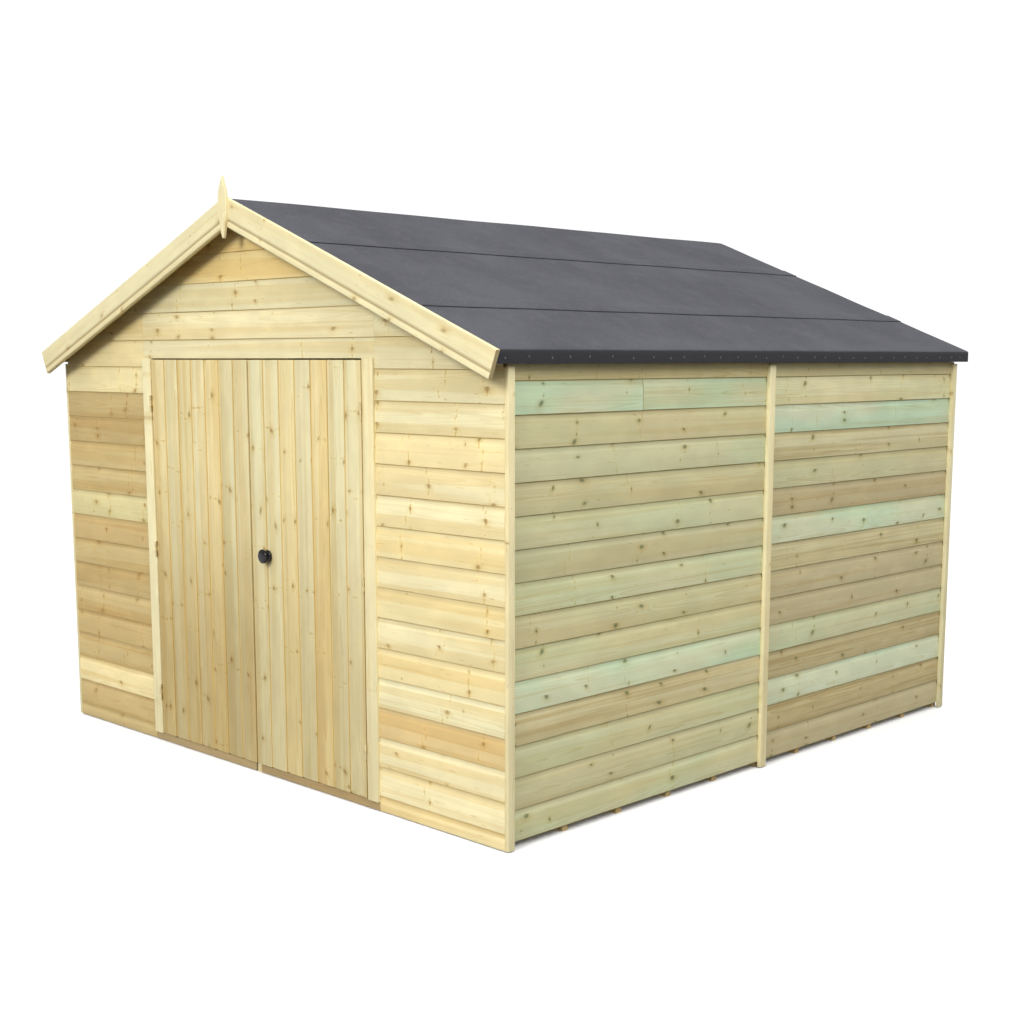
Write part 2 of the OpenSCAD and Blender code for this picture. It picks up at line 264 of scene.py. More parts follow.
def lay_board(pile, place, ends, outline, up, tint, green, luck, runs=RUNS, foot_darkening=0.0):
    """One board: place turns along, up and depth into a point, and ends gives its two ends at a height."""
    shift = (luck.uniform(0, 60), luck.uniform(-0.10, 0.06), luck.uniform(0.008, 0.06))
    sway, lean = Wander(luck), Wander(luck)
    number = luck.random() + (1.0 if tint in GRAINY else 0.0)
    low_end, high_end = ends(up + outline[0][0])
    shares = steps_along(runs, max(high_end - low_end, 0.05))
    rings, grains, marks = [], [], []
    for share in shares:
        ring, grain, mark = [], [], []
        for u, depth, dirt_and_shade in outline:
            start, stop = ends(up + u)
            along = start + (stop - start) * share
            ring.append(place(along, up + u + sway(along), depth + lean(along)))
            grain.append((along + shift[0], u + shift[1], depth + shift[2]))
            # The end rings get grime and painted shade: a dark band at each end of the board.
            mark.append((0.8 if share in (0.0, 1.0) else dirt_and_shade, green, number))
        rings.append(ring)
        grains.append(grain)
        marks.append(mark)
    pile.loft(rings, grains, vary(tint, luck), marks, foot_darkening)


def vary(tint, luck, amount=0.04):
    """A tint a little lighter or darker and a little warmer or cooler than the one given."""
    bright = 1 + luck.uniform(-amount, amount)
    warm = luck.uniform(-amount, amount) / 2
    return tint.x * bright * (1 + warm), tint.y * bright, tint.z * bright * (1 - warm)


# ---- Walls ----

def on_front(along, up, depth):
    return Vector((along, FRONT_Y + depth, up))


def on_rear(along, up, depth):
    return Vector((along, REAR_Y - depth, up))


def on_right(along, up, depth):
    return Vector((WALL_X - depth, along, up))


def on_left(along, up, depth):
    return Vector((-WALL_X + depth, along, up))


def gable_reach(up):
    """Half the width of a gable at a height, under the roof boards."""
    return max(0.0, min(WALL_X, (roof_z(0, -FELT - DECK - 0.0002) - up) / SLOPE))


def rows_between(base, lowest, highest):
    """Each row of boards whose joint lines stand a cover apart from base, cut to the heights given."""
    row = math.ceil((lowest - base) / COVER - 0.999)
    while base + row * COVER < highest - 0.001:
        up = base + row * COVER
        yield up, max(0.0, lowest - up), min(1.0, highest - up)
        row += 1


def clad(pile, place, ends, base, lowest, highest, tints, luck, split=None):
    """Rows of shiplap with their tints from the top row down; split is a row and where it is cut."""
    rows = list(rows_between(base, lowest, highest))
    for number, (up, cut_low, cut_high) in enumerate(reversed(rows)):
        tint = tints[number % len(tints)]
        green = GREENS.get(tint_name(tint), 0.0)
        outline = shiplap(COVER, cut_low, cut_high)
        spans = [ends]
        if split and number == split[0]:
            spans = [cut_at(ends, split[1], 0), cut_at(ends, split[1], 1)]
        for span in spans:
            lay_board(pile, place, span, outline, up, tint, green, luck)


def tint_name(tint):
    return tuple(round(value, 4) for value in tint)


def cut_at(ends, middle, side):
    """One side of a butt joint, as a new pair of ends."""
    gap = 0.0008

    def part(up):
        start, stop = ends(up)
        return (start, middle - gap) if side == 0 else (middle + gap, stop)
    return part


def between(start, stop):
    return lambda up: (start, stop)


PANEL_JOINT = 0.0015      # half the gap between two wall panels
# How strongly each tint is stained by the green treatment
GREENS = {tint_name(tint): green for tint, green in (
    (PALE, 0.25), (SAGE, 0.55), (OLIVE, 0.3), (LEMON, 0.5), (STRAW, 0.2), (MINT, 1.0), (JADE, 1.0),
    (BARK, 0.1), (ASH, 0.1))}
GRAINY = (BARK, DUSK)     # boards with a strong grain
NEAR_ROWS = [STRAW, MINT, OLIVE, SAGE, OLIVE, SAGE, OLIVE, SAGE, OLIVE, SAGE, MINT, BARK, SAGE,
             OLIVE, SAGE]
FAR_ROWS = [STRAW, PALE, JADE, BARK, OLIVE, ASH, JADE, BARK, ASH, ASH, SAGE, DUSK, JADE, DUSK, ASH]
RIGHT_ROWS = [CREAM, CREAM, HONEY, CREAM, CREAM, HONEY, CREAM, HONEY, CREAM, HONEY, CREAM, WHEAT]
LEFT_ROWS = [HONEY, TAN, TAN, BISCUIT, BISCUIT, LEMON, TAN, BISCUIT, TAN, BISCUIT, TAN, TAN]
# Gable rows from the top down, mostly the amber tint: partly painted light against the shade under the
# roof
GABLE_ROWS = [AMBER_TONE_AND_LIGHT, AMBER_TONE_AND_LIGHT, AMBER_TONE_AND_LIGHT, CREAM]


def front_walls(material):
    pile = Pile()
    luck = random.Random("front walls")
    base = low("front_wall_right").z
    clad(pile, on_front, between(TRIM_X, WALL_X), ROW_Z, base, ROW_Z, RIGHT_ROWS, luck)
    pile.build("front_boards_right", material, "shed", "front_cladding", ["front_wall_right"])
    pile = Pile()
    clad(pile, on_front, between(-WALL_X, -TRIM_X), ROW_Z, base, ROW_Z, LEFT_ROWS, luck)
    pile.build("front_boards_left", material, "shed", "front_cladding", ["front_wall_left"])


def front_gable(material):
    luck = random.Random("gable")
    panel_low, panel_top = low("over_door_panel").z, high("over_door_panel").z
    pile = Pile()
    clad(pile, on_front, between(-TRIM_X, TRIM_X), ROW_Z, panel_low, panel_top,
         [CREAM, CREAM], luck)
    pile.build("over_door_boards", material, "shed", "front_cladding", ["over_door_panel"])
    pile = Pile()
    clad(pile, on_front, lambda up: (TRIM_X, gable_reach(up)), ROW_Z, ROW_Z, panel_top,
         [CREAM, CREAM], luck)
    clad(pile, on_front, lambda up: (-gable_reach(up), -TRIM_X), ROW_Z, ROW_Z, panel_top,
         [HONEY, HONEY], luck)
    clad(pile, on_front, lambda up: (-gable_reach(up), gable_reach(up)), ROW_Z, panel_top,
         high("front_gable").z - 0.004, GABLE_ROWS, luck)
    pile.build("gable_boards_front", material, "shed", "front_cladding", ["front_gable"])


def side_walls(material):
    for side, place in (("right", on_right), ("left", on_left)):
        luck = random.Random(side)
        front, rear = low(f"side_wall_{side}_front").y, high(f"side_wall_{side}_rear").y
        seam = front + 0.47 * -front
        pile = Pile()
        clad(pile, place, between(front, -PANEL_JOINT), SIDE_LOW, SIDE_LOW, SIDE_TOP, NEAR_ROWS,
             luck, split=(1, seam))
        pile.build(f"side_boards_{side}_front", material, "shed", "side_cladding",
                   [f"side_wall_{side}_front"])
        pile = Pile()
        clad(pile, place, between(PANEL_JOINT, rear), SIDE_LOW, SIDE_LOW, SIDE_TOP, FAR_ROWS, luck)
        pile.build(f"side_boards_{side}_rear", material, "shed", "side_cladding",
                   [f"side_wall_{side}_rear"])


def rear_walls(material):
    luck = random.Random("rear")
    halves = (
        (NEAR_ROWS, lambda up: (-gable_reach(up), -min(PANEL_JOINT, gable_reach(up)))),
        (FAR_ROWS, lambda up: (min(PANEL_JOINT, gable_reach(up)), gable_reach(up))))
    for name, node, lowest, highest in (
            ("rear_boards", "rear_wall", SIDE_LOW, SIDE_TOP),
            ("gable_boards_rear", "rear_gable", SIDE_TOP, high("rear_gable").z - 0.004)):
        pile = Pile()
        for rows, ends in halves:
            clad(pile, on_rear, ends, SIDE_LOW, lowest, highest, rows, luck)
        pile.build(name, material, "shed", "side_cladding", [node])


# ---- Doors ----

LEAF_BOARDS = 7
LEFT_LEAF = [CREAM, CREAM, HONEY, CREAM, HONEY, CREAM, HONEY]
RIGHT_LEAF = [CREAM, CREAM, HONEY, CREAM, HONEY, CREAM, CREAM]
LEAF_FOOT_DARKENING = {"left": 1.0, "right": 0.65}    # how much darker each leaf gets towards its foot


def square_edge(outline):
    """The outline without the notch behind its lip, for the board at the edge of a leaf."""
    return [(0 if depth >= SCOOP_DEPTH - 0.001 and u < 2 * LIP else u, depth, dirt_and_shade)
            for u, depth, dirt_and_shade in outline]


def door_leaf(side, tints, material):
    """Upright shiplap boards, each lapping over the one to its left."""
    node = f"{side}_door_boards"
    corner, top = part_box(node)
    cover = (top.x - corner.x) / LEAF_BOARDS
    luck = random.Random(node)
    pile = Pile()

    def place(along, across, depth):
        return Vector((top.x - across, corner.y + depth, along))

    for i in range(LEAF_BOARDS):
        reach = cover if i == LEAF_BOARDS - 1 else 1.0
        outline = shiplap(cover, 0, reach)
        if i == 0:
            outline = square_edge(outline)
        lay_board(pile, place, between(corner.z, top.z), outline, i * cover, tints[i], 0.1, luck,
                  foot_darkening=LEAF_FOOT_DARKENING[side])
    pile.build(f"{side}_leaf", material, f"{side}_door", "door_boarding", [node])


# ---- Timbers that keep their CAD shape ----

def islands(shape):
    """The loose solids of a bmesh, as lists of vertices, in the order of their first vertices."""
    seen = set()
    for start in shape.verts:
        if start in seen:
            continue
        seen.add(start)
        found, front = [], [start]
        while front:
            vert = front.pop()
            found.append(vert)
            for edge in vert.link_edges:
                other = edge.other_vert(vert)
                if other not in seen:
                    seen.add(other)
                    front.append(other)
        yield sorted(found, key=lambda v: v.index)


def long_axis(verts):
    """The direction of a timber's longest edge."""
    longest = max((e for v in verts for e in v.link_edges), key=lambda e: e.calc_length())
    return (longest.verts[1].co - longest.verts[0].co).normalized()


def grain_axes(along):
    """Three axes square to each other, the first along the timber."""
    helper = Vector((0, 1, 0)) if abs(along.y) < 0.9 else Vector((1, 0, 0))
    across = (helper - along * helper.dot(along)).normalized()
    return along, across, along.cross(across)


def number_timbers(shape, layer, tint, luck):
    """Writes each loose solid's number on its points. Gives its grain axes, middle, shift and tint."""
    timbers = []
    for number, verts in enumerate(islands(shape)):
        axes = grain_axes(long_axis(verts))
        shifts = Vector((luck.uniform(0, 60), luck.uniform(-0.05, 0.05), luck.uniform(-0.05, 0.05)))
        middle = sum((v.co for v in verts), Vector()) / len(verts)
        timbers.append((axes, middle, shifts, vary(tint, luck, 0.06), luck.random()))
        for vert in verts:
            vert[layer] = number
    return timbers


def timber(name, nodes, tint, material, body):
    """The CAD nodes' timbers with eased edges, each cut from its own part of a tree."""
    shape = bmesh.new()
    for node in nodes:
        shape.from_mesh(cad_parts[node].data)
    bmesh.ops.remove_doubles(shape, verts=shape.verts, dist=1e-5)
    bmesh.ops.dissolve_limit(shape, angle_limit=math.radians(1), verts=shape.verts,
                             edges=shape.edges)
    shape.verts.index_update()
    layer = shape.verts.layers.int.new("timber")
    timbers = number_timbers(shape, layer, tint, random.Random(name))
    sharp = [e for e in shape.edges if e.is_manifold and e.calc_face_angle(0) > math.radians(20)]
    bmesh.ops.bevel(shape, geom=sharp, offset=0.0015, segments=2, profile=0.6, affect="EDGES",
                    clamp_overlap=True)
    grain, marks, tints = [], [], []
    for vert in shape.verts:
        axes, middle, shifts, colours, chance = timbers[vert[layer]]
        offset = vert.co - middle
        grain.append([offset.dot(axis) + shift for axis, shift in zip(axes, shifts)])
        marks.append((0.0, 0.1, chance))
        tints.append((*colours, 0.0))
    mesh = bpy.data.meshes.new(name)
    shape.to_mesh(mesh)
    shape.free()
    write_attributes(mesh, grain, marks, tints)
    return finish_piece(mesh, name, material, body, nodes)


# ---- Roof ----

def bargeboard(side, name, material):
    """A front bargeboard with a groove near its lower edge, mitred at the ridge."""
    node = f"bargeboard_front_{name}"
    corner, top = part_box(node)
    reach = top.x if side > 0 else -corner.x
    depth = (top.z - reach * SLOPE - corner.z) / math.cos(TILT)
    thick = top.y - corner.y
    groove = 0.73 * depth
    cos, sin = math.cos(TILT), math.sin(TILT)
    # The third value darkens the groove with grime and painted shade.
    outline = [(0, thick, 0), (0, 0.0015, 0), (0.0015, 0, 0), (groove - 0.012, 0, 0),
               (groove - 0.004, 0.0006, 0.35), (groove, 0.0022, 0.8), (groove + 0.0035, 0.0024, 0.8),
               (groove + 0.007, 0.0008, 0.2), (groove + 0.011, 0.0002, 0),
               (depth - 0.004, 0.0006, 0), (depth, 0.004, 0), (depth, thick, 0)]

    def place(along, across, inward):
        return Vector((side * (along * cos - across * sin), corner.y + inward,
                       top.z - along * sin - across * cos))

    def ends(across):
        return across * math.tan(TILT), reach / cos

    pile = Pile()
    lay_board(pile, place, ends, outline, 0.0, CREAM, 0.05, random.Random(node), runs=13)
    pile.build(f"bargeboard_{name}", material, "shed", "trim_timber", [node])


def finial(material):
    """A leaf-shaped finial over the joint of the bargeboards."""
    corner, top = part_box("finial")
    half, height = (top.x - corner.x) / 2, top.z - corner.z
    steps = 28
    widest = 0.58
    blunt = 0.12

    def width(share):
        if share < widest:
            return half * (blunt + (1 - blunt) * math.sin(math.pi / 2 * share / widest) ** 0.9)
        return half * max(0.0, math.cos(math.pi / 2 * (share - widest) / (1 - widest))) ** 1.1

    side = [(width(i / steps), corner.z + height * i / steps) for i in range(steps)]
    outline = side + [(0.0008, top.z)] + [(-x, z) for x, z in reversed(side)]
    pile = Pile()
    rings = []
    for inward, shrink in ((0, 0.0018), (0.0018, 0), (top.y - corner.y, 0)):
        ring = []
        for x, z in outline:
            closer = math.copysign(max(0.0, abs(x) - shrink), x)
            ring.append(Vector((closer, corner.y + inward, z)))
        rings.append(ring)
    grains = [[(p.z + 3.1, p.x + 0.02, p.y + 0.03) for p in ring] for ring in rings]
    marks = [[(0.0, 0.05, 0.4)] * len(outline) for ring in rings]
    pile.loft(rings, grains, vary(CREAM, random.Random("finial")), marks)
    pile.build("ridge_finial", material, "shed", "trim_timber", ["finial"], crease=40)


ROOF_ROWS = 13        # boards on each slope
FLOOR_ROWS = 13       # boards on each half of the floor


def on_slope(side, above):
    """A place on a roof slope: along is Y, up is the distance from the ridge down the slope."""
    cos, sin = math.cos(TILT), math.sin(TILT)
    top = roof_z(0, above)

    def place(along, down, depth):
        return Vector((side * (down * cos - depth * sin), along, top - down * sin - depth * cos))
    return place


def roof_boards(side, name, material):
    """Boards under the felt that run from front to rear. Their eased edges face the inside."""
    width = ROOF_X / math.cos(TILT) / ROOF_ROWS
    luck = random.Random(f"roof {name}")
    outline = [(u, DECK - depth, dirt_and_shade) for u, depth, dirt_and_shade in plank(width - 0.0006, DECK - 0.0004)]
    pile = Pile()
    for i in range(ROOF_ROWS):
        # The roof boards' dark tint is partly painted shade under the overhang.
        lay_board(pile, on_slope(side, -FELT), between(ROOF_FRONT, ROOF_REAR), outline, i * width,
                  SOFFIT_TONE_AND_SHADE, 0.0, luck, runs=3)
    pile.build(f"roof_boarding_{name}", material, "shed", "roof_boarding", [f"roof_boards_{name}"])


FELT_RINGS = 96       # rings of points along the felt
FOLD_ROUND = 0.006    # radius of the felt where it turns down over the eaves
LAP_RISE = 0.024      # run over which a strip climbs on to the one below
LAP_END = 0.012       # flat run at a strip's lower edge


def ripple(down, along):
    """How far the felt lifts off the boards, in slow waves."""
    return (0.0011 * math.sin(2.3 * along + 5.1 * down) * math.sin(6.7 * down - 1.9 * along + 0.6)
            + 0.0007 * math.sin(9.1 * along + 3.3 * down + 1.1)
            + 0.0005 * math.sin(17 * down + 4.3 * along))


def thick_line(line, half):
    """A closed outline around a line, half a thickness to each side."""
    outer, inner = [], []
    for i, (x, z, edge) in enumerate(line):
        x0, z0, _ = line[max(0, i - 1)]
        x1, z1, _ = line[min(len(line) - 1, i + 1)]
        length = math.hypot(x1 - x0, z1 - z0)
        nx, nz = -(z1 - z0) / length, (x1 - x0) / length
        outer.append((x + nx * half, z + nz * half, edge))
        inner.append((x - nx * half, z - nz * half, edge))
    return outer + inner[::-1]


def felt_strip(line, name, nodes, material):
    """A strip of felt that follows a line of x, z and edge values from front to rear. The edge value
    darkens the felt: painted shade on the eaves fold, partly painted shadow at the laps.
    """
    outline = thick_line(line, FELT / 2)
    cos, sin = math.cos(TILT), math.sin(TILT)
    pile = Pile()
    rings, grains, marks = [], [], []
    for i in range(FELT_RINGS):
        along = ROOF_FRONT + (ROOF_REAR - ROOF_FRONT) * i / (FELT_RINGS - 1)
        ring, mark = [], []
        for x, z, edge in outline:
            lift = 0.0009 + ripple(abs(x) / cos, along) * 0.8
            side = math.copysign(1, x)
            flat = abs(x) < ROOF_X - FOLD_ROUND
            ring.append(Vector((x + side * lift * (sin if flat else 0.9), along,
                                z + lift * (cos if flat else 0.4))))
            mark.append((edge, 0.0, 0.0))
        rings.append(ring)
        marks.append(mark)
        grains.append([tuple(p) for p in ring])
    pile.loft(rings, grains, (1.0, 1.0, 1.0), marks)
    pile.build(name, material, "shed", "roofing_felt", nodes, crease=50)


def slope_line(start, stop, above, steps, edge=0.0):
    """Points on the slope between two distances from the ridge."""
    xs = [start + (stop - start) * i / (steps - 1) for i in range(steps)]
    return [(x, roof_z(x, above), edge) for x in xs]


def mirrored(line):
    return [(-x, z, edge) for x, z, edge in reversed(line)]


def lap_end(low_x, lap):
    """The lower end of a strip, which rises by one thickness over the strip below."""
    line = slope_line(low_x - LAP_RISE / 2, low_x + lap - LAP_END, FELT / 2, 4)
    # Its lower edge is darkened: a dark line at the lap, partly painted shadow under the step.
    return line + [(low_x + lap, roof_z(low_x + lap, FELT / 2), 0.7)]


def felt_roof(material):
    """Felt in three strips a side: eaves, middle and one over the ridge."""
    up_x = high("felt_ridge").x
    eaves_x, fold_x = low("felt_eaves_right").x, high("felt_eaves_right").x
    fold_z = low("felt_eaves_right").z
    lap = high("felt_middle_right").x - eaves_x
    up_low = up_x - lap
    half = FELT / 2
    middle = fold_x - half
    corner = roof_z(middle, -half)
    turn = math.pi / 2 - TILT
    arc = []
    # The felt darkens as it turns down over the eaves and is darkest on the fold: painted shade.
    for i in range(6):
        angle = TILT + turn * i / 5
        arc.append((middle - FOLD_ROUND * (1 - math.sin(angle)),
                    corner - FOLD_ROUND * (0.8 - math.cos(angle)) * 0.9, 0.16 * i))
    eaves = slope_line(eaves_x, middle - FOLD_ROUND, -half, 18) + arc
    drop = arc[-1][1] - fold_z
    eaves += [(middle, arc[-1][1] - drop * i / 4, 0.9 + 0.025 * i) for i in range(1, 5)]
    centre = slope_line(up_low, eaves_x - LAP_RISE, -half, 18) + lap_end(eaves_x, lap)
    crown = slope_line(0.012, up_low - LAP_RISE, -half, 16) + lap_end(up_low, lap)
    ridge = mirrored(crown) + [(0.0, roof_z(0.004, -half), 0.0)] + crown
    felt_strip(eaves, "felt_lower_right", ["felt_eaves_right"], material)
    felt_strip(mirrored(eaves), "felt_lower_left", ["felt_eaves_left"], material)
    felt_strip(centre, "felt_centre_right", ["felt_middle_right"], material)
    felt_strip(mirrored(centre), "felt_centre_left", ["felt_middle_left"], material)
    felt_strip(ridge, "felt_over_ridge", ["felt_ridge"], material)


# ---- Floor ----

def floor_boards(material):
    for side in ("right", "left"):
        node = f"floor_boards_{side}"
        corner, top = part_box(node)
        thick = top.z - corner.z
        width = (top.x - corner.x) / FLOOR_ROWS
        luck = random.Random(node)
        pile = Pile()

        def place(along, across, depth):
            return Vector((corner.x + across, along, top.z - depth))

        for i in range(FLOOR_ROWS):
            lay_board(pile, place, between(corner.y, top.y), plank(width - 0.0008, thick, 0.001),
                      i * width, HONEY, 0.0, luck, runs=3)
        pile.build(f"floor_planks_{side}", material, "shed", "floor_boarding", [node])


# ---- Metalwork ----

def turned(name, profile, centre, material, body, nodes, sides=96):
    """A body of revolution about an axis along Y. The profile gives distances out along -Y and radii."""
    shape = bmesh.new()
    verts = [shape.verts.new(centre + Vector((radius, -out, 0))) for out, radius in profile]
    for a, b in zip(verts, verts[1:]):
        shape.edges.new((a, b))
    bmesh.ops.spin(shape, geom=shape.verts[:] + shape.edges[:], cent=centre, axis=(0, 1, 0),
                   angle=2 * math.pi, steps=sides, use_merge=True)
    bmesh.ops.remove_doubles(shape, verts=shape.verts, dist=1e-6)
    bmesh.ops.recalc_face_normals(shape, faces=shape.faces)
    mesh = bpy.data.meshes.new(name)
    shape.to_mesh(mesh)
    shape.free()
    return finish_piece(mesh, name, material, body, nodes, crease=60)


def rounded(points, steps=5):
    """A profile with a curve in place of each inner corner."""
    made = [points[0]]
    for before, corner, after in zip(points, points[1:], points[2:]):
        a = [(before[k] + corner[k]) / 2 for k in (0, 1)]
        b = [(corner[k] + after[k]) / 2 for k in (0, 1)]
        for i in range(steps + 1):
            t = i / steps
            made.append(tuple((1 - t) ** 2 * a[k] + 2 * t * (1 - t) * corner[k] + t * t * b[k]
                              for k in (0, 1)))
    return made + [points[-1]]


def door_knob(material):
    """Dome against the door, neck and flat head outside, with the spindle and small knob inside."""
    corner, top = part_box("door_knob")
    face = low("right_door_boards").y
    head = face - corner.y
    middle = (corner + top) / 2
    centre = Vector((middle.x, face, middle.z))
    radius = (top.x - corner.x) / 2
    dome = [(0.0005, 0), (0.0005, 0.022), (0.003, 0.0265), (0.010, 0.0245), (0.0155, 0.0205),
            (0.0175, 0.0150), (0.0190, 0.0150)]
    face_profile = [(0.0205, 0.021), (0.0245, radius * 0.97), (head - 0.0085, radius * 1.01),
                    (head - 0.004, radius * 0.95), (head - 0.0008, radius * 0.70), (head, 0)]
    turned("knob_outside", rounded(dome + face_profile), centre, material, "knob",
           ["door_knob"])
    inside = face - top.y
    back = [(0.0, 0.006), (-0.040, 0.006), (-0.0425, 0.012), (-0.043, 0.0175),
            (inside + 0.006, 0.018), (inside + 0.001, 0.016), (inside, 0)]
    turned("knob_inside", rounded([(0.0, 0)] + back), centre, material, "knob", [])


class NailPile(Pile):
    """Nail heads as low domes."""

    def head(self, centre, outward, radius, height):
        outward = outward.normalized()
        side = outward.orthogonal().normalized()
        other = outward.cross(side)
        rings = []
        for share, up in ((1.0, -0.0006), (1.0, 0.5 * height), (0.7, height)):
            ring = []
            for i in range(8):
                angle = math.pi * i / 4
                ring.append(centre + outward * up + radius * share
                            * (side * math.cos(angle) + other * math.sin(angle)))
            rings.append(ring)
        blank = [[(0.0, 0.0, 0.0)] * 8] * 3
        self.loft(rings, blank, (1.0, 1.0, 1.0), blank)


def nail_lines(pile, place, outward, lines, rows, luck):
    """Two small nails a board on each upright line."""
    for line in lines:
        for up, cut_low, cut_high in rows:
            for height in (0.020, 0.075):
                if cut_low < height < cut_high:
                    spot = place(line + luck.uniform(-0.004, 0.004),
                                 up + height + luck.uniform(-0.003, 0.003), 0.0)
                    pile.head(spot, outward, 0.0017, 0.0006)


def cladding_nails(material):
    """Nails through the side and front boards into the framing behind them."""
    pile = NailPile()
    luck = random.Random("nails")
    corner_in, half_stud = 0.035, 0.019
    studs = [-REAR_Y + corner_in, -0.75, -0.03, 0.03, 0.75, REAR_Y - corner_in]
    rows = list(rows_between(SIDE_LOW, SIDE_LOW, SIDE_TOP))
    nail_lines(pile, on_right, Vector((1, 0, 0)), studs, rows, luck)
    nail_lines(pile, on_left, Vector((-1, 0, 0)), studs, rows, luck)
    posts = [TRIM_X + half_stud, (TRIM_X + WALL_X) / 2, WALL_X - corner_in]
    nail_lines(pile, on_front, Vector((0, -1, 0)), [-x for x in posts] + posts,
               list(rows_between(ROW_Z, 0.006, ROW_Z)), luck)
    pile.build("cladding_nails", material, "shed", "hinge_metal")


def felt_nails(material):
    """Clout nails through the fold of the felt along both eaves."""
    pile = NailPile()
    luck = random.Random("clouts")
    fold_x = high("felt_eaves_right").x
    fold_z = low("felt_eaves_right").z
    spacing = 0.11
    count = int((ROOF_REAR - ROOF_FRONT) / spacing)
    for side in (1, -1):
        for i in range(count):
            y = ROOF_FRONT + (i + 0.5) * spacing + luck.uniform(-0.02, 0.02)
            spot = Vector((side * (fold_x + 0.0012), y, fold_z + 0.022 + luck.uniform(-0.004, 0.004)))
            pile.head(spot, Vector((side, 0, 0)), 0.0045, 0.0012)
    pile.build("felt_nails", material, "shed", "roofing_felt")


# ---- Materials ----

class Tree:
    """The nodes of a material or a world, added with short calls."""

    def __init__(self, owner):
        owner.use_nodes = True
        self.nodes, self.links = owner.node_tree.nodes, owner.node_tree.links

    def plug(self, socket, value):
        if isinstance(value, bpy.types.NodeSocket):
            self.links.new(value, socket)
        elif isinstance(value, Vector):
            socket.default_value = (*value, 1.0)
        else:
            socket.default_value = value

    def add(self, kind, sockets=None, **settings):
        made = self.nodes.new(f"ShaderNode{kind}")
        for key, value in settings.items():
            setattr(made, key, value)
        for key, value in (sockets or {}).items():
            self.plug(made.inputs[key], value)
        return made

    def attribute(self, name):
        return self.add("Attribute", attribute_name=name)

    def split(self, vector):
        made = self.add("SeparateXYZ", {"Vector": vector})
        return made.outputs[0], made.outputs[1], made.outputs[2]

    def join(self, x, y, z):
        return self.add("CombineXYZ", {0: x, 1: y, 2: z}).outputs[0]

    def math(self, operation, *values):
        return self.add("Math", dict(enumerate(values)), operation=operation).outputs[0]

    def times(self, a, b):
        return self.math("MULTIPLY", a, b)

    def plus(self, a, b):
        return self.math("ADD", a, b)

    def ramp(self, value, start, stop, low_value=0.0, high_value=1.0):
        made = self.add("MapRange", {"Value": value, "From Min": start, "From Max": stop,
                                     "To Min": low_value, "To Max": high_value},
                        interpolation_type="SMOOTHSTEP")
        return made.outputs["Result"]

    def mix(self, share, a, b, blend="MIX"):
        made = self.add("Mix", {0: share, 6: a, 7: b}, data_type="RGBA", blend_type=blend)
        return made.outputs[2]

    def noise(self, vector, scale, detail=2.0, roughness=0.5):
        made = self.add("TexNoise", {"Vector": vector, "Scale": scale, "Detail": detail,
                                     "Roughness": roughness})
        return made.outputs["Fac"]

    def cells(self, value):
        """The middle of the nearest of some uneven steps, with three random numbers for that step."""
        made = self.add("TexVoronoi", {"W": value, "Scale": 1.0, "Randomness": 0.9},
                        voronoi_dimensions="1D")
        return made.outputs["W"], self.split(made.outputs["Color"])


class Graph(Tree):
    """A new material's nodes."""

    def __init__(self, name):
        self.material = bpy.data.materials.new(name)
        super().__init__(self.material)
        self.shader = self.nodes["Principled BSDF"]

    def surface(self, socket, value):
        self.plug(self.shader.inputs[socket], value)

    def bump(self, height, distance):
        made = self.add("Bump", {"Height": height, "Distance": distance, "Strength": 1.0})
        self.surface("Normal", made.outputs["Normal"])


WHORL_STEP = 0.30      # distance between whorls of knots along a board
KNOT_STEP = 0.040      # distance between knots across a board
KNOT_SIZE = 0.020      # radius of the largest knots
RING_STEP = 0.0042     # width of a growth ring


def knot_field(g, grain, along, across):
    """The nearest knot's distance, its radius, how far along it is and its whorl's random number."""
    scaled = g.math("DIVIDE", along, WHORL_STEP)
    whorl, whorl_luck = g.cells(scaled)
    row = g.math("MULTIPLY_ADD", whorl_luck[0], 71.0, g.math("DIVIDE", across, KNOT_STEP))
    knot, knot_luck = g.cells(row)
    beside = g.times(g.math("SUBTRACT", row, knot), KNOT_STEP)
    before = g.times(g.math("SUBTRACT", scaled, whorl), WHORL_STEP)
    before = g.plus(before, g.math("MULTIPLY_ADD", knot_luck[1], 0.05, -0.025))
    size = g.times(g.math("MAXIMUM", g.math("SUBTRACT", knot_luck[0], 0.45), 0.0), KNOT_SIZE / 0.55)
    ragged = g.noise(grain, 110.0, 2.0, 0.6)
    turn = g.times(knot_luck[2], math.pi)
    cos, sin = g.math("COSINE", turn), g.math("SINE", turn)
    u = g.plus(g.times(before, cos), g.times(beside, sin))
    v = g.math("SUBTRACT", g.times(beside, cos), g.times(before, sin))
    v = g.times(v, g.math("MULTIPLY_ADD", knot_luck[1], 1.4, 1.0))
    distance = g.math("SQRT", g.plus(g.times(u, u), g.times(v, v)))
    distance = g.plus(distance, g.math("MULTIPLY_ADD", ragged, 0.008, -0.004))
    return distance, size, before, whorl_luck[1]


def growth_rings(g, grain, along, across, depth, distance, size):
    """Distance from the middle of the tree, bent round the knots."""
    slow = g.noise(g.join(along, 0.0, 3.0), 0.7, 1.0)
    slower = g.noise(g.join(along, 9.0, 0.0), 0.55, 1.0)
    y = g.plus(across, g.math("MULTIPLY_ADD", slow, 0.10, -0.05))
    z = g.plus(depth, g.math("MULTIPLY_ADD", slower, 0.07, -0.035))
    radius = g.math("SQRT", g.plus(g.times(y, y), g.times(z, z)))
    wide = g.math("MAXIMUM", g.times(size, 1.7), 0.001)
    near = g.math("DIVIDE", distance, wide)
    push = g.math("EXPONENT", g.times(g.times(near, near), -0.5))
    radius = g.math("MULTIPLY_ADD", push, 0.011, radius)
    return g.math("MULTIPLY_ADD", stretched_noise(g, grain, 2.2, 26.0), 0.0045, radius)


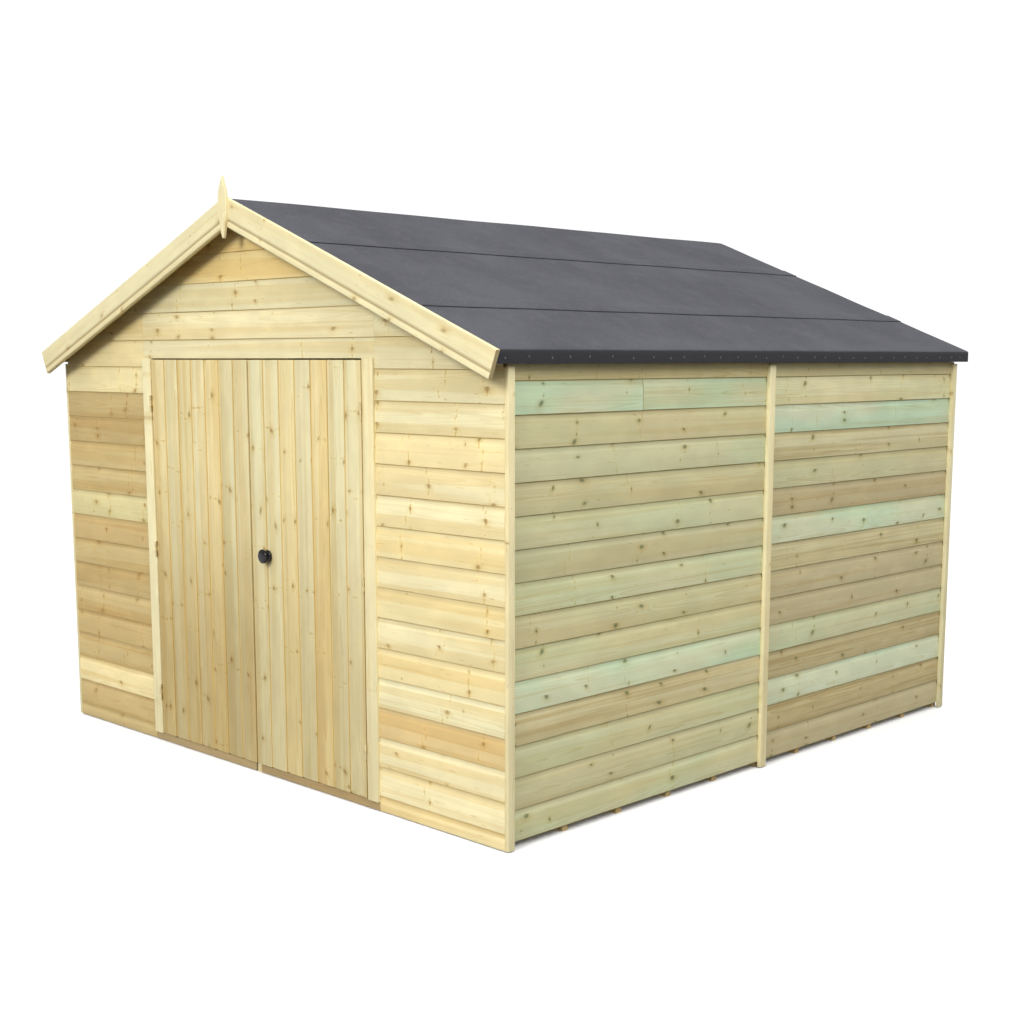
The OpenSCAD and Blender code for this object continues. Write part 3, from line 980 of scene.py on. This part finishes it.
def stretched_noise(g, grain, along_scale, across_scale, detail=2.0, roughness=0.5):
    """Noise drawn out along the grain."""
    at = g.add("VectorMath", {0: grain, 1: (along_scale, across_scale, across_scale)},
               operation="MULTIPLY")
    return g.noise(at.outputs[0], 1.0, detail, roughness)


def shade(g, share, base, tone):
    """The base multiplied by a tone, by a share of the whole."""
    return g.mix(share, base, g.mix(1.0, base, Vector(tone), "MULTIPLY"))


def grain_colour(g, grain, tint, late, number, ring, bands):
    """Growth rings, bands of sapwood and heartwood, streaks and cloudy patches."""
    strong = g.math("GREATER_THAN", number, 1.0)
    rings = g.times(late, g.math("MULTIPLY_ADD", strong, 0.25, ring))
    base = shade(g, rings, tint, (0.80, 0.66, 0.44))
    band = stretched_noise(g, grain, 0.35, 17.0, 1.0)
    base = shade(g, g.ramp(band, 0.50, 0.60, 0.0, bands), base, (0.88, 0.78, 0.61))
    streak = stretched_noise(g, grain, 0.9, 60.0, 3.0, 0.6)
    base = shade(g, g.ramp(streak, 0.52, 0.72, 0.0, 0.5), base, (0.86, 0.75, 0.55))
    heavy = g.times(g.ramp(streak, 0.45, 0.60), g.times(strong, 0.35))
    base = shade(g, heavy, base, (0.66, 0.58, 0.43))
    cloud = stretched_noise(g, grain, 6.0, 14.0, 2.0)
    base = shade(g, g.ramp(cloud, 0.35, 0.70, 0.0, 1.0), base, (1.09, 1.09, 1.09))
    dash = stretched_noise(g, grain, 16.0, 150.0, 1.0)
    return shade(g, g.ramp(dash, 0.70, 0.80, 0.0, 0.55), base, (0.72, 0.58, 0.38))


def whorl_lines(g, base, along, across, number, before, whorl_luck, spikes):
    """A thin dark line across the board at some whorls, inside a paler band."""
    wiggle = g.noise(g.join(along, across, number), 70.0, 2.0)
    line = g.math("ABSOLUTE", g.plus(before, g.math("MULTIPLY_ADD", wiggle, 0.016, -0.008)))
    broken = g.ramp(g.noise(g.join(whorl_luck, across, number), 55.0, 1.0), 0.38, 0.62)
    seen = g.times(g.ramp(whorl_luck, 0.30, 0.6), spikes)
    pale = g.times(g.ramp(line, 0.022, 0.006), g.times(seen, 0.5))
    base = shade(g, pale, base, (1.06, 1.05, 0.98))
    dark = g.times(g.ramp(line, 0.0060, 0.0008), g.times(seen, broken))
    return shade(g, dark, base, (0.76, 0.62, 0.40))


def wood_surface(g, grain, late, knot, sawn, roughness):
    """Roughness, and relief from growth rings, fibres, knots and the saw."""
    fibre = stretched_noise(g, grain, 18.0, 700.0)
    g.surface("Roughness", g.ramp(fibre, 0.3, 0.7, roughness - 0.06, roughness + 0.08))
    g.surface("Specular IOR Level", 0.25)
    height = g.math("MULTIPLY_ADD", late, 0.35, g.times(fibre, 0.4))
    height = g.math("MULTIPLY_ADD", knot, 0.5, height)
    if sawn:
        height = g.math("MULTIPLY_ADD", stretched_noise(g, grain, 320.0, 25.0, 1.0), sawn, height)
    g.bump(height, 0.0004)


def wood(name, ring=0.5, knots=0.7, knot_colour=colour(146, 112, 60), dirt_and_shade_colour=GOLDEN_DIRT_AND_SHADE,
         spikes=0.0, bands=0.5, sawn=0.0, roughness=0.62):
    """Pine with growth rings, streaks, knots, green treatment, and grime with painted shade in the joints.
    """
    g = Graph(name)
    grain = g.attribute("grain").outputs["Vector"]
    along, across, depth = g.split(grain)
    dirt_and_shade, green, number = g.split(g.attribute("mark").outputs["Vector"])
    look = g.attribute("tint")
    distance, size, before, whorl_luck = knot_field(g, grain, along, across)
    radius = growth_rings(g, grain, along, across, depth, distance, size)
    late = g.math("POWER", g.math("FRACT", g.math("DIVIDE", radius, RING_STEP)), 2.5)
    base = grain_colour(g, grain, look.outputs["Color"], late, number, ring, bands)

    stain = stretched_noise(g, grain, 1.3, 5.0, 2.0)
    patch = g.times(g.ramp(stain, 0.40, 0.60), green)
    base = shade(g, patch, base, (0.87, 1.03, 1.04))

    far_off = g.times(size, 3.2)
    halo = g.times(g.ramp(distance, far_off, size), 0.40)
    base = shade(g, halo, base, (0.82, 0.72, 0.50))
    knot = g.ramp(distance, g.times(size, 1.3), g.times(size, 0.2))
    base = g.mix(g.times(knot, knots), base, knot_colour)

    base = whorl_lines(g, base, along, across, number, before, whorl_luck, spikes)
    place = g.split(g.add("TexCoord").outputs["Object"])
    # Darker towards the foot, by the share held in each point's tint (set for the door leaves)
    foot = g.times(g.ramp(place[2], 1.45, 0.35), look.outputs["Alpha"])
    base = shade(g, foot, base, (0.66, 0.60, 0.50))
    # Grime and painted shade in the joints, grooves and at the board ends
    base = g.mix(g.times(dirt_and_shade, 0.75), base, dirt_and_shade_colour)
    g.surface("Base Color", base)

    wood_surface(g, grain, late, knot, sawn, roughness)
    return g.material


def mineral_felt(name):
    """Bitumen felt with a slate granule surface, darker on the eaves fold as painted shade and along the
    lap edges as partly painted shadow.
    """
    g = Graph(name)
    place = g.add("TexCoord").outputs["Object"]
    edge = g.split(g.attribute("mark").outputs["Vector"])[0]
    granule = g.add("TexVoronoi", {"Vector": place, "Scale": 420.0})
    speck = g.split(granule.outputs["Color"])[0]
    soft = g.noise(place, 2.2, 4.0, 0.6)
    blotch = g.noise(place, 11.0, 3.0, 0.6)
    base = g.mix(g.ramp(soft, 0.35, 0.68), colour(60, 61, 68), colour(73, 74, 81))
    base = g.mix(g.ramp(blotch, 0.48, 0.70, 0.0, 0.35), base, colour(82, 82, 89))
    base = g.mix(g.ramp(speck, 0.55, 1.0, 0.0, 0.45), base, colour(104, 104, 111))
    base = g.mix(g.ramp(speck, 0.40, 0.0, 0.0, 0.55), base, colour(42, 42, 48))
    # Painted shade on the eaves fold, and partly painted shadow along the lap edges
    base = g.mix(g.times(edge, 0.94), base, colour(32, 32, 36))
    g.surface("Base Color", base)
    g.surface("Roughness", g.ramp(speck, 0.0, 1.0, 0.78, 0.92))
    g.surface("Specular IOR Level", 0.35)
    height = g.math("MULTIPLY_ADD", speck, 1.0, g.times(soft, 1.5))
    g.bump(height, 0.0006)
    return g.material


def zinc(name, light, dark, metallic):
    """Dull zinc plate with a patchy film."""
    g = Graph(name)
    place = g.add("TexCoord").outputs["Object"]
    film = g.noise(place, 60.0, 3.0, 0.6)
    base = g.mix(g.ramp(film, 0.35, 0.65), light, dark)
    g.surface("Base Color", base)
    g.surface("Roughness", g.ramp(film, 0.3, 0.7, 0.34, 0.5))
    g.surface("Metallic", metallic)
    g.bump(g.noise(place, 900.0, 2.0), 0.0001)
    return g.material


def black_gloss(name):
    """Glossy black enamel with faint orange peel and handling marks."""
    g = Graph(name)
    place = g.add("TexCoord").outputs["Object"]
    smear = g.noise(place, 90.0, 3.0, 0.6)
    base = g.mix(g.ramp(smear, 0.4, 0.7), colour(4, 4, 5), colour(10, 9, 10))
    g.surface("Base Color", base)
    g.surface("Roughness", g.ramp(smear, 0.35, 0.7, 0.16, 0.28))
    g.surface("Specular IOR Level", 0.3)
    g.bump(g.noise(place, 700.0, 1.0), 0.00005)
    return g.material


# ---- The shed ----

front_wood = wood("front_cladding_wood", ring=0.35, spikes=0.8, bands=0.6)
side_wood = wood("side_cladding_wood", ring=0.45, spikes=0.5, knots=0.8, bands=0.35,
                 knot_colour=colour(88, 98, 62), dirt_and_shade_colour=OLIVE_DIRT_AND_SHADE)
door_wood = wood("door_boarding_wood", ring=0.4, spikes=0.6, bands=0.6)
trim_wood = wood("trim_wood", ring=0.35, knots=0.6, bands=0.3, dirt_and_shade_colour=GROOVE_DIRT_AND_SHADE)
frame_wood = wood("framing_wood", ring=0.6, knots=0.9, sawn=1.2, roughness=0.74)
floor_wood = wood("floor_wood", ring=0.6, roughness=0.6)
roof_wood = wood("roof_boarding_wood", ring=0.6, sawn=0.8, roughness=0.72)
felt = mineral_felt("mineral_felt")
steel = zinc("zinc_plate", colour(206, 190, 146), colour(184, 168, 126), 0.5)
enamel = black_gloss("black_enamel")
clout = zinc("weathered_clout", colour(86, 84, 87), colour(70, 69, 72), 0.2)

front_walls(front_wood)
front_gable(front_wood)
side_walls(side_wood)
rear_walls(side_wood)
door_leaf("left", LEFT_LEAF, door_wood)
door_leaf("right", RIGHT_LEAF, door_wood)
roof_boards(1, "right", roof_wood)
roof_boards(-1, "left", roof_wood)
felt_roof(felt)
bargeboard(1, "right", trim_wood)
bargeboard(-1, "left", trim_wood)
finial(trim_wood)
floor_boards(floor_wood)
door_knob(enamel)
cladding_nails(steel)
felt_nails(clout)

for name, nodes, tint, material in (
        ("joists", ["floor_joists"], SAWN, frame_wood),
        ("joining_strip", ["floor_joining_strip"], CREAM, frame_wood),
        ("sill_strips", ["door_sill"], SILL, trim_wood),
        ("door_trims", ["door_trim_left", "door_trim_right"], CREAM, trim_wood),
        ("corner_battens", ["corner_battens_front", "corner_battens_rear"], CREAM, trim_wood),
        ("panel_battens", ["joint_battens"], CREAM, trim_wood),
        ("front_framing", ["front_frame"], SAWN, frame_wood),
        ("side_framing", ["side_frame_left", "side_frame_right"], SAWN, frame_wood),
        ("rear_framing", ["rear_frame"], SAWN, frame_wood),
        ("roof_framing", ["roof_timbers"], SAWN, frame_wood),
        ("eaves_battens", ["eaves_strips"], TAN, frame_wood),
        ("rear_bargeboards", ["bargeboards_rear"], CREAM, trim_wood)):
    timber(name, nodes, tint, material, "shed")
for side in ("left", "right"):
    timber(f"{side}_ledges", [f"{side}_door_ledges"], SAWN, frame_wood, f"{side}_door")

for hinge in ("frame_hinges", "left_door_hinges", "right_door_hinges"):
    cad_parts[hinge].data.materials.clear()
    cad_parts[hinge].data.materials.append(steel)


# ---- Floor, light and camera ----

FLOOR_SIZE = 340       # half the floor's width
RING_RADIUS = 150      # radius and height of the white wall round the scene
RING_HEIGHT = 170
ZENITH_LIGHT = 1.5     # light from straight above
HORIZON_LIGHT = 0.4    # light from the horizon
GROUND_LIGHT = 0.2     # share of the horizon's light that comes from below it
KEY_WATTS = 1100
FILL_WATTS = 640


def stage_piece(name, points, faces, material):
    """A piece of the stage. The light that matt surfaces throw on each other leaves it out."""
    mesh = bpy.data.meshes.new(name)
    mesh.from_pydata(points, [], faces)
    mesh.materials.append(material)
    piece = bpy.data.objects.new(name, mesh)
    piece.visible_diffuse = False
    bpy.context.scene.collection.objects.link(piece)
    return piece


def stage_floor():
    g = Graph("pale_floor")
    tone = g.noise(g.add("TexCoord").outputs["Object"], 0.8, 2.0)
    g.surface("Base Color", g.mix(tone, colour(244, 244, 244), colour(249, 249, 249)))
    g.surface("Roughness", 0.9)
    corners = [(FLOOR_SIZE * x, FLOOR_SIZE * y, 0) for x, y in ((-1, -1), (1, -1), (1, 1), (-1, 1))]
    stage_piece("stage_floor", corners, [(0, 1, 2, 3)], g.material)


def backdrop_ring():
    """A white wall all round, far away, which only the camera sees."""
    count = 64
    turns = [2 * math.pi * i / count for i in range(count)]
    circle = [(RING_RADIUS * math.cos(a), RING_RADIUS * math.sin(a)) for a in turns]
    points = [(x, y, z) for z in (-1, RING_HEIGHT) for x, y in circle]
    faces = [(i, (i + 1) % count, (i + 1) % count + count, i + count) for i in range(count)]
    g = Graph("white_backdrop")
    glow = g.add("Emission", {"Color": Vector((1, 1, 1)), "Strength": 1.05})
    g.plug(g.nodes["Material Output"].inputs["Surface"], glow.outputs[0])
    wall = stage_piece("stage_backdrop", points, faces, g.material)
    wall.visible_glossy = wall.visible_shadow = wall.visible_transmission = False


def area_light(name, place, aim, size, watts, tint):
    data = bpy.data.lights.new(name, "AREA")
    data.shape = "DISK"
    data.size = size
    data.energy = watts
    data.color = tint
    lamp = bpy.data.objects.new(name, data)
    lamp.location = place
    lamp.rotation_euler = (Vector(aim) - Vector(place)).to_track_quat("-Z", "Y").to_euler()
    bpy.context.scene.collection.objects.link(lamp)


def studio():
    """Soft light from the sky, little from below, a lamp in front and a weaker one on the right."""
    world = bpy.data.worlds.new("studio")
    g = Tree(world)
    up = g.split(g.add("TexCoord").outputs["Generated"])[2]
    sky = g.add("MapRange", {"Value": up, "From Min": -0.15, "To Min": HORIZON_LIGHT,
                             "To Max": ZENITH_LIGHT}).outputs["Result"]
    above = g.add("MapRange", {"Value": up, "From Min": -0.2, "From Max": 0.0,
                               "To Min": GROUND_LIGHT}).outputs["Result"]
    backdrop = g.nodes["Background"]
    g.plug(backdrop.inputs["Strength"], g.times(sky, above))
    g.plug(backdrop.inputs["Color"], Vector((1, 1, 1)))
    bpy.context.scene.world = world
    bpy.context.scene.view_settings.view_transform = "Standard"
    area_light("key", (3.0, -13.5, 6.6), (0, 0, 1.2), 4.5, KEY_WATTS, (1.0, 0.985, 0.95))
    area_light("fill", (10.0, -4.0, 9.0), (0, 0, 1.0), 6.0, FILL_WATTS, (1.0, 0.99, 0.97))


def camera():
    """The view from the front right corner, from just below the height of the eaves."""
    azimuth, elevation = math.radians(44.52), math.radians(8.60)
    distance = 7.30
    aim = Vector((0.0371, -0.0615, 0.6808))
    back = Vector((math.sin(azimuth) * math.cos(elevation), -math.cos(azimuth) * math.cos(elevation),
                   math.sin(elevation)))
    data = bpy.data.cameras.new("camera")
    data.sensor_width = 36
    data.lens = 51.56
    data.shift_y = 0.0664
    eye = bpy.data.objects.new("camera", data)
    eye.location = aim + back * distance
    eye.rotation_euler = (-back).to_track_quat("-Z", "Y").to_euler()
    bpy.context.scene.collection.objects.link(eye)
    bpy.context.scene.camera = eye


stage_floor()
backdrop_ring()
studio()
camera()
